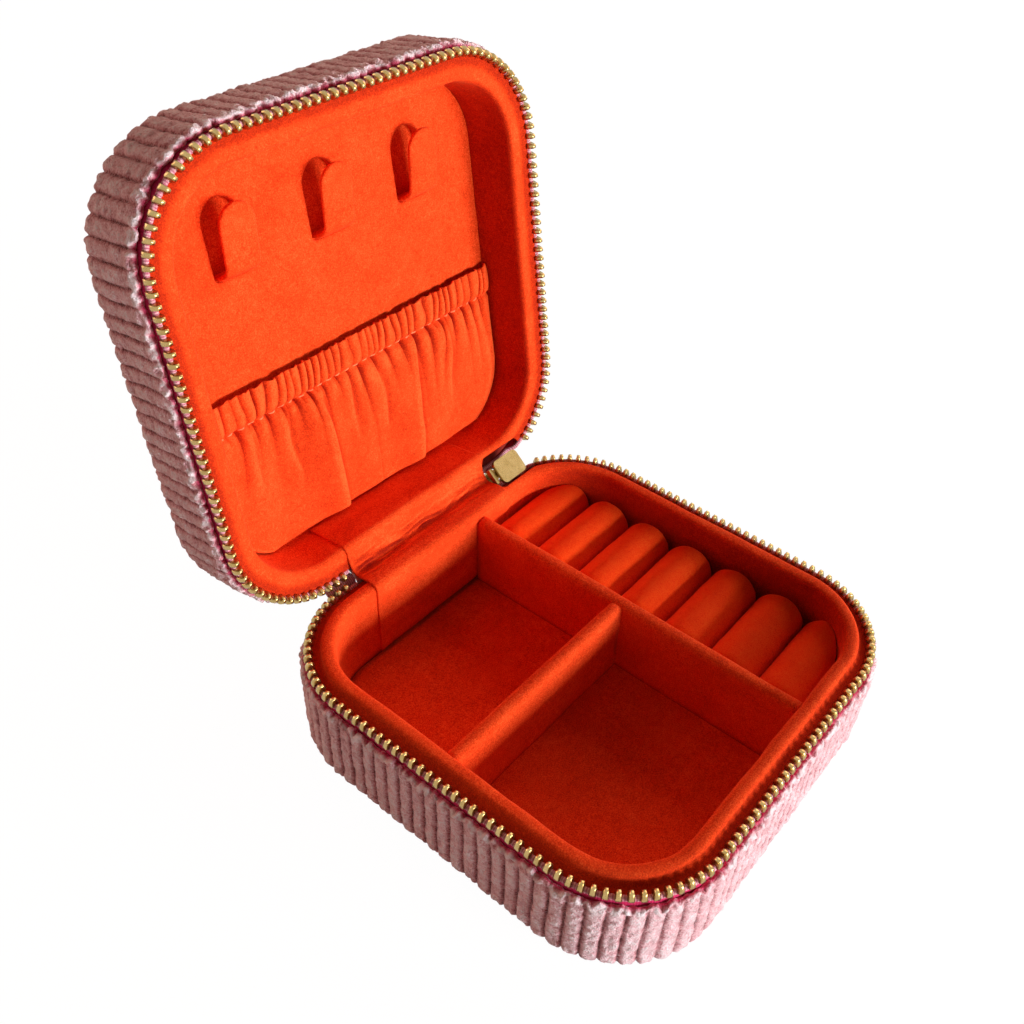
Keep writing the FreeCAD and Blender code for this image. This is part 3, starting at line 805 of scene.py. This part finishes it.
def hookPanel():
    face = panel["face"]
    work = bmesh.new()
    count = panel["around"]
    outer = [work.verts.new((x, y, face)) for x, y in roundedRoom(count)]
    edges = [work.edges.new((outer[k], outer[(k + 1) % count])) for k in range(count)]
    for k in range(panel["holes"]):
        x = (k - 1) * panel["pitch"]
        loops = []
        for step in range(6):
            a = step / 5 * math.pi / 2
            grow = panel["edgeRoll"] * (1 - math.sin(a))
            depth = panel["edgeRoll"] * (1 - math.cos(a))
            loops.append([work.verts.new((px, py, face + depth)) for px, py in holeOutline(x, grow)])
        loops.append([work.verts.new((px, py, face + panel["holeDepth"])) for px, py in holeOutline(x, 0.0)])
        size = len(loops[0])
        edges += [work.edges.new((loops[0][j], loops[0][(j + 1) % size])) for j in range(size)]
        for a, b in zip(loops, loops[1:]):
            for j in range(size):
                work.faces.new((a[j], a[(j + 1) % size], b[(j + 1) % size], b[j]))
    bmesh.ops.triangle_fill(work, use_beauty=True, edges=edges, normal=(0, 0, -1))
    work.verts.ensure_lookup_table()
    work.verts.index_update()
    points = np.array([v.co[:] for v in work.verts])
    faces = [tuple(v.index for v in f.verts) for f in work.faces]
    work.free()
    return addPiece("hook_panel_velvet", points, faces, velvet, "lid", ["lid_hook_panel"])


hookPanel()

# necklace hooks: a thick velvet tab bent out of each hole
hook = {"width": 7.9, "thickness": 1.25, "stand": 3.4, "lean": 1.7, "rise": 14.6, "rootZ": 39.6,
        "bendZ": 39.2, "rootGap": 0.75, "around": 28}


def hookPiece(number):
    x = (number - 2) * panel["pitch"]
    low = panel["holeY"] + panel["holeLength"] / 2 - hook["rootGap"]
    path = rounded([(low + 1.2, hook["rootZ"]), (low, hook["bendZ"]), (low - 0.1, panel["face"] - 0.2),
                    (low - 1.6, panel["face"] - hook["stand"]),
                    (low - hook["rise"], panel["face"] - hook["stand"] - hook["lean"])], 1.6, 8)
    path = evenly(path, 0.35)
    normal = profileNormals(path)
    if normal[-1, 1] > 0:
        normal = -normal
    length = lengthAlong(path)
    half = hook["width"] / 2
    around = hook["around"]
    a = np.arange(around) / around * 2 * math.pi
    rings = []
    for k in range(len(path)):
        left = length[-1] - length[k]
        wide = half
        if left < half:
            wide = math.sqrt(max(half * half - (half - left) ** 2, 0.01))
        thick = hook["thickness"] / 2 * min(1.0, 0.35 + left / 0.9)
        cx = np.sign(np.cos(a)) * np.abs(np.cos(a)) ** 0.35 * wide
        cn = np.sign(np.sin(a)) * np.abs(np.sin(a)) ** 0.6 * thick
        rings.append(np.column_stack([x + cx, path[k] + cn[:, None] * normal[k]]))
    faces = tubeFaces(len(path), around)
    return addPiece("hook_velvet_" + str(number), np.vstack(rings), faces, velvet, "lid",
                    ["necklace_hook_" + str(number)])


for number in range(1, panel["holes"] + 1):
    hookPiece(number)
print("hooks ready")

# gathered pocket: one velvet sheet, drawn up by elastic in a casing below its mouth
pocketLook = {"mouthY": 3.0, "stitchY": 10.0, "lowY": 41.2, "columns": 420, "rows": 150, "stand": 1.7,
              "ruffle": 1.1, "rufflePitch": 2.2, "pucker": 1.5, "puckerPitch": 3.9, "fold": 1.9,
              "thickness": 0.45, "turnIn": 0.9, "wallGap": 0.2, "wallInset": 5.8, "fall": 31,
              "sideEase": 4, "flat": (0.100, 0.0405), "least": 0.25,
              "pleats": ((-33, -31, 14, 0.7), (-22, -24, 18, 0.8), (-14.5, -11.5, 44, 1.5), (-5, -6, 15, 0.8),
                         (3, 4, 16, 0.9), (15, 12, 44, 1.2), (25, 24, 18, 0.9), (35, 35, 12, 0.6))}


def pocketHalfAt(y):
    # half width of the room at y, less a little
    inset = pocketLook["wallInset"] + pocketLook["wallGap"]
    radius = case["cornerRadius"] - inset
    past = np.clip(y - (case["halfDepth"] - inset - radius), 0, radius)
    return case["halfWidth"] - inset - radius + np.sqrt(np.maximum(radius ** 2 - past ** 2, 0.0))


def pocketSurface(x, y):
    # how far the sheet stands in front of the panel
    below = np.clip(y - pocketLook["stitchY"], 0, 99)
    above = np.clip((pocketLook["stitchY"] - y) / (pocketLook["stitchY"] - pocketLook["mouthY"]), 0, 1)
    # ridges in the casing: rounded tops, narrow valleys, uneven spacing
    drift = 0.8 * latticeNoise(x / 5.5, y / 30, 70) + 0.2 * latticeNoise(x / 2, y / 4, 78)
    ridge = x / pocketLook["rufflePitch"] + drift + 0.03 * (y - pocketLook["stitchY"])
    size = 0.8 + 0.6 * latticeNoise(x / 3.1 + 40, y / 20 + 5, 71)
    ruffle = (np.abs(np.sin(np.pi * ridge)) ** 0.65 - 0.62) * size
    # puckers hang from the stitching and die out at their own lengths
    hang = x / pocketLook["puckerPitch"] + 0.5 * latticeNoise(x / 8 + 17, below / 16, 72)
    reach = 4.2 + 2.6 * latticeNoise(x / 4.4 + 3, x * 0 + 2, 79)
    pucker = (np.abs(np.sin(np.pi * hang)) ** 0.8 - 0.62) * np.exp(-below / reach)
    fold = latticeNoise(x / 6.2 - below * np.sign(x) / 90 + 9, y / 34 + 1, 73)
    sweep = latticeNoise(x / 13.5 + 3 - below / 150, y / 45 + 7, 76)
    puff = np.sin(np.pi * np.clip(above, 0, 1)) ** 0.7
    pinch = np.exp(-((y - pocketLook["stitchY"]) / 0.7) ** 2)
    cased = y < pocketLook["stitchY"]
    ruffle = pocketLook["ruffle"] * ruffle
    hanging = pocketLook["pucker"] * pucker + 0.55 * ruffle * np.exp(-below / 1.6)
    gathers = np.where(cased, ruffle * (0.55 + 0.45 * above), hanging)
    start = 1 - np.exp(-below / 3.5)
    folds = 0.75 * fold * np.exp(-below / 16) + 0.8 * sweep * np.exp(-below / 30)
    folds = pocketLook["fold"] * start * folds
    # single folds: a slow rise from the left and a quick fall to a crease on the right
    for top, foot, run, tall in pocketLook["pleats"]:
        t = x - (top + (foot - top) * below / pocketLook["fall"]) - 0.8 * latticeNoise(y / 9, y * 0 + top, 77)
        lean = np.where(t < 0, 0.2, 1.15) * t
        folds = folds + 1.7 * tall * np.exp(-lean * lean) * start * np.clip(1.15 - below / run, 0, 1) ** 0.8
    edgeX = eased((pocketHalfAt(y) - np.abs(x)) / pocketLook["sideEase"])
    belly = np.sin(np.pi * np.clip(below / pocketLook["fall"], 0, 1)) ** 0.8
    stand = pocketLook["stand"] + 0.6 * puff - 0.75 * pinch + belly * edgeX
    stand = stand + (gathers * (1 - 0.45 * pinch) + folds) * (0.3 + 0.7 * edgeX)
    # the sheet turns in to its seam along the sides and the bottom
    seam = np.minimum(pocketHalfAt(y) - np.abs(x), pocketLook["lowY"] - y) / pocketLook["turnIn"]
    seam = np.clip(seam, 0, 1)
    return np.maximum(stand, 0.5) * np.sqrt(seam * (2 - seam))


def pocketPiece():
    rows, columns = pocketLook["rows"], pocketLook["columns"]
    t = np.linspace(0, 1, rows - 8) ** 1.2
    lowest = pocketLook["lowY"] - pocketLook["turnIn"]
    y = pocketLook["mouthY"] + t * (lowest - pocketLook["mouthY"])
    y = np.concatenate([y, lowest + pocketLook["turnIn"] * np.sin(np.linspace(0, np.pi / 2, 9))[1:]])
    w = np.linspace(-1, 1, columns)
    w = np.sign(w) * (1 - (1 - np.abs(w)) ** 1.06)
    yy = np.repeat(y[:, None], columns, 1)
    xx = pocketHalfAt(yy) * w[None, :]
    stand = np.maximum(pocketSurface(xx, yy), pocketLook["least"])
    # painted shading on the folds: painted shade in the valleys and on slopes facing left, painted light on
    # slopes facing right
    mean = sum(np.roll(stand, k, 1) for k in range(-9, 10)) / 19
    slope = np.gradient(stand, axis=1) / np.maximum(np.gradient(xx, axis=1), 0.05)
    paintedShading = -np.clip(mean - stand, -0.25, 0.7) - 0.35 * np.clip(slope, -0.5, 1.2)
    paintedShading = np.clip(paintedShading, -0.9, 0.25)
    mouth = np.exp(-(yy - pocketLook["mouthY"]) / 1.2)
    ruffle = (0.6 * np.abs(latticeNoise(xx / 1.1 + 40, yy * 0 + 9.5, 74)) - 0.2) * mouth
    zz = panel["face"] - stand
    points = np.column_stack([xx.ravel(), (yy + ruffle).ravel(), zz.ravel()])
    piece = addPiece("pocket_velvet", points, gridFaces(rows, columns), velvet, "lid",
                     ["pocket", "pocket_elastic"], {"paintedShading": paintedShading})
    addThickness(piece, pocketLook["thickness"])
    return piece


pocketSheet = pocketPiece()


# sewing thread along the lower edge of the casing
stitch = {"reach": 40.2, "pitch": 2.6, "half": 0.85, "radius": 0.17, "points": 7, "around": 8, "above": 0.22,
          "arch": 0.12}


def stitchRow():
    points = []
    faces = []
    count, around = stitch["points"], stitch["around"]
    a = np.arange(around) / around * 2 * math.pi
    share = np.linspace(-1, 1, count)
    radii = stitch["radius"] * (1 - 0.75 * np.abs(share) ** 4)
    for k, x in enumerate(np.arange(-stitch["reach"], stitch["reach"] + 0.1, stitch["pitch"])):
        xs = x + share * stitch["half"]
        ys = pocketLook["stitchY"] + 0.15 * latticeNoise(xs / 5, xs * 0, 75)
        zs = panel["face"] - np.maximum(pocketSurface(xs, ys), pocketLook["least"])
        zs = zs - stitch["above"] - stitch["arch"] * (1 - share ** 2)
        for px, py, pz, r in zip(xs, ys, zs, radii):
            points.append(np.column_stack([np.full(around, px), py + r * np.cos(a), pz + r * np.sin(a)]))
        faces += tubeFaces(count, around, k * count * around)
    return addPiece("pocket_stitches", np.vstack(points), faces, thread, "lid")


stitches = stitchRow()
print("pocket ready")

# fabric hinge: a velvet strip inside and a corduroy spine between the layers, bent in the open pose
strip = {"half": 22.0, "lift": 0.3, "thickness": 0.36, "columns": 150, "low": 4.8, "high": 36.6, "sag": 2.2,
         "ripple": 0.05, "wrinkle": 0.26, "wrinkleMm": 2.6, "creaseShade": 0.4, "creaseMm": 1.5,
         "rowStep": 0.2, "round": 1.5}
spine = {"reach": 10, "bend": 1.2, "round": 0.9, "columns": 140, "ripple": 0.05}
tail = {"x": -25.7, "half": 3.9, "outset": 1.15, "reach": 2.4, "fold": 1.1, "round": 0.7, "columns": 16,
        "ripple": 0.03, "thickness": 0.35}


def onLid(y, z):
    return placed(np.array([[0, y, z]]), "lid")[0, 1:] * 1000


def bentSheet(name, path, half, columns, ripple, material, stands, seed, wales=False, middle=0.0,
              thickness=strip["thickness"], wrinkle=0.0, crease=None):
    # path: (y, z) in millimetres at rest
    path = evenly(path, strip["rowStep"])
    normal = profileNormals(path)
    x = np.linspace(-half, half, columns)
    rows = len(path)
    xx = np.repeat(x[None, :], rows, 0)
    length = lengthAlong(path)
    ll = np.repeat(length[:, None], columns, 1)
    near = np.argmin(np.linalg.norm(path - crease, axis=1)) if crease is not None else 0
    bent = np.exp(-((ll - length[near]) / strip["wrinkleMm"]) ** 2)
    wave = ripple * latticeNoise(xx / 11, ll / 2.6, seed) * np.clip((half - np.abs(xx)) / 3, 0.2, 1)
    slant = ll + 0.8 * latticeNoise(xx / 6, ll / 3, seed + 6)
    inside = np.clip((half - np.abs(xx)) / 2, 0, 1)
    wave += wrinkle * bent * latticeNoise(xx / 4.5, slant / 0.5, seed + 5) * inside
    yy = path[:, :1] + wave * normal[:, :1]
    zz = path[:, 1:] + wave * normal[:, 1:]
    points = np.column_stack([xx.ravel() + middle, yy.ravel(), zz.ravel()]) / 1000
    # painted shading on the strip: lighter and darker with the ripples, painted shade in the hinge crease and
    # at its foot
    shade = 3.0 * wave
    if wrinkle:
        creased = np.exp(-((ll - length[near]) / strip["creaseMm"]) ** 2)
        shade = shade - strip["creaseShade"] * creased - footShade(ll)
    data = {"along": xx, "paintedShading": np.clip(shade, -0.9, 0.2)}
    if wales:
        data["rib"] = waleShape(xx / cover["walePitch"])
    piece = addPiece(name, points, gridFaces(rows, columns), material, None, stands, data)
    addThickness(piece, thickness)
    return piece, length[-1]


faceY = case["halfDepth"] + rim["inner"] - strip["lift"]
backY = case["halfDepth"] + rim["outer"]
rimBase = np.array([backY, rim["baseTop"] + strip["lift"]])
rimLid = onLid(backY, rim["lidTop"] - strip["lift"])
toHinge = np.array([hingeY, zipZ]) - (rimBase + rimLid) / 2
sagged = (rimBase + rimLid) / 2 + toHinge / np.linalg.norm(toHinge) * strip["sag"]
stripPath = rounded([(faceY, strip["low"]), (faceY, rimBase[1]), rimBase, sagged, rimLid,
                     onLid(faceY, rim["lidTop"] - strip["lift"]), onLid(faceY, strip["high"])],
                    strip["round"], 9)
stripPiece, stripLength = bentSheet("hinge_strip_velvet", stripPath, strip["half"], strip["columns"],
                                    strip["ripple"], velvet, ["hinge_strip_inner"], 81,
                                    wrinkle=strip["wrinkle"], crease=sagged)
spineY = case["halfDepth"]
spinePath = rounded([(spineY, zipZ - spine["reach"]), (spineY, zipZ - spine["bend"]),
                     onLid(spineY, zipZ + spine["bend"]), onLid(spineY, zipZ + spine["reach"])],
                    spine["round"], 6)
spinePiece, spineLength = bentSheet("hinge_spine_corduroy", spinePath, strip["half"], spine["columns"],
                                    spine["ripple"], corduroy, ["hinge_spine_outer"], 82,
                                    True)
tailY = case["halfDepth"] + tail["outset"]
tailPath = rounded([(tailY, zipZ - tail["reach"]), (tailY, zipZ - tail["fold"]),
                    onLid(tailY, zipZ + tail["fold"]), onLid(tailY, zipZ + tail["reach"])], tail["round"], 6)
tailPiece = bentSheet("zip_tail_tape", tailPath, tail["half"], tail["columns"], tail["ripple"], tape,
                      [], 83, middle=tail["x"], thickness=tail["thickness"])[0]
for piece in (stripPiece, spinePiece, tailPiece):
    low = placed(np.array([[0, case["halfDepth"] - 3, zipZ - 1.5]]), "base")[0]
    high = placed(np.array([[0, case["halfDepth"] - 3, zipZ + 1.5]]), "lid")[0]
    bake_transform(piece)
print("hinge ready")

# carried-over solids: materials, and softened edges on the metal
for name, material in {"base_shell": board, "lid_shell": board, "ring_bed": velvet,
                       "lid_back_lining": velvet, "zip_end_stop": brass, "zip_slider": brass,
                       "zip_pull": brass}.items():
    nodes[name].data.materials.clear()
    nodes[name].data.materials.append(material)
metalEdge = {"roundMm": 0.18, "segments": 3}
for name in ("zip_end_stop", "zip_slider", "zip_pull"):
    bevel = nodes[name].modifiers.new("softEdge", "BEVEL")
    bevel.width = metalEdge["roundMm"] / 1000
    bevel.segments = metalEdge["segments"]
    bevel.limit_method = "ANGLE"

# camera recovered from the photograph's zip outlines
view = {"place": (-0.12866, -0.07896, 0.18717), "forward": (0.59004, 0.46858, -0.65748), "roll": 2.41,
        "lens": 36.81}
cameraData = bpy.data.cameras.new("camera")
cameraData.lens = view["lens"]
cameraData.sensor_width = 36
cameraData.clip_start = 0.005
camera = bpy.data.objects.new("camera", cameraData)
bpy.context.scene.collection.objects.link(camera)
camera.rotation_mode = "QUATERNION"
turn = Vector(view["forward"]).to_track_quat("-Z", "Y")
camera.rotation_quaternion = turn @ Matrix.Rotation(math.radians(view["roll"]), 3, "Z").to_quaternion()
camera.location = view["place"]
bpy.context.scene.camera = camera

# stage: pale floor, soft key from the front right, fill all round
light = {"key": 13.75, "keyPlace": (0.17, -0.98, 0.15), "keySize": 0.6, "keyHeight": 0.18, "fill": 0.22,
         "fillPlace": (-0.95, -0.25, 0.25), "fillSize": 0.6, "fillColour": "#FFA080", "back": 5.0,
         "backPlace": (-0.25, 0.95, 0.5), "backSize": 0.8, "side": 6.5, "sidePlace": (0.95, -0.02, 0.41),
         "sideSize": 0.75, "warm": "#FFCEB8", "sky": 0.085, "skyColour": "#FFCAB2"}


def addLight(name, power, place, size, colour="#FFFFFF", height=None, target=(0, 0.02, 0.05)):
    data = bpy.data.lights.new(name, "AREA")
    data.color = linear(colour)[:3]
    data.energy = power
    data.shape = "RECTANGLE"
    data.size = size
    data.size_y = height or size
    lamp = bpy.data.objects.new(name, data)
    bpy.context.scene.collection.objects.link(lamp)
    lamp.location = place
    lamp.rotation_mode = "QUATERNION"
    lamp.rotation_quaternion = (Vector(target) - Vector(place)).to_track_quat("-Z", "Y")


def seenRays(tree):
    # 1 for rays from the eye, in reflections and through clear things
    rays = addNode(tree, "ShaderNodeLightPath").outputs
    path = rays["Is Camera Ray"]
    for kind in ("Is Glossy Ray", "Is Transmission Ray"):
        path = calc(tree, "MAXIMUM", path, rays[kind])
    return path


addLight("keyLight", light["key"], light["keyPlace"], light["keySize"], height=light["keyHeight"])
addLight("fillLight", light["fill"], light["fillPlace"], light["fillSize"], light["fillColour"])
addLight("backLight", light["back"], light["backPlace"], light["backSize"], light["warm"])
addLight("sideLight", light["side"], light["sidePlace"], light["sideSize"], light["warm"])
world = bpy.data.worlds.new("studio")
bpy.context.scene.world = world
world.use_nodes = True
tree = world.node_tree
tree.nodes.clear()
seenShare = seenRays(tree)
soft = addNode(tree, "ShaderNodeBackground", {"Color": linear(light["skyColour"]), "Strength": light["sky"]})
seen = addNode(tree, "ShaderNodeBackground", {"Color": (1, 1, 1, 1), "Strength": 1.0})
mixed = addNode(tree, "ShaderNodeMixShader", None, {0: seenShare, 1: soft.outputs[0], 2: seen.outputs[0]})
addNode(tree, "ShaderNodeOutputWorld", None, {"Surface": mixed.outputs[0]})

stage = {"half": 3.0, "below": 0.0001, "grey": 0.9, "glow": 1.05, "seenShare": 0.93}
floorMesh = bpy.data.meshes.new("floor")
corners = [(-1, -1), (1, -1), (1, 1), (-1, 1)]
floorMesh.from_pydata([(x * stage["half"], y * stage["half"], -stage["below"]) for x, y in corners], [],
                      [(0, 1, 2, 3)])
floorPlane = bpy.data.objects.new("floor", floorMesh)
bpy.context.scene.collection.objects.link(floorPlane)
floorMaterial, tree = newMaterial("paperWhiteMatte")
matte = addNode(tree, "ShaderNodeBsdfDiffuse", {"Color": (stage["grey"],) * 3 + (1,)})
glow = addNode(tree, "ShaderNodeEmission", {"Color": (1, 1, 1, 1), "Strength": stage["glow"]})
share = calc(tree, "MULTIPLY", seenRays(tree), stage["seenShare"])
mixed = addNode(tree, "ShaderNodeMixShader", None, {0: share, 1: matte.outputs[0], 2: glow.outputs[0]})
addNode(tree, "ShaderNodeOutputMaterial", None, {"Surface": mixed.outputs[0]})
floorMesh.materials.append(floorMaterial)
bpy.context.scene.view_settings.view_transform = "Standard"
print("stage ready")
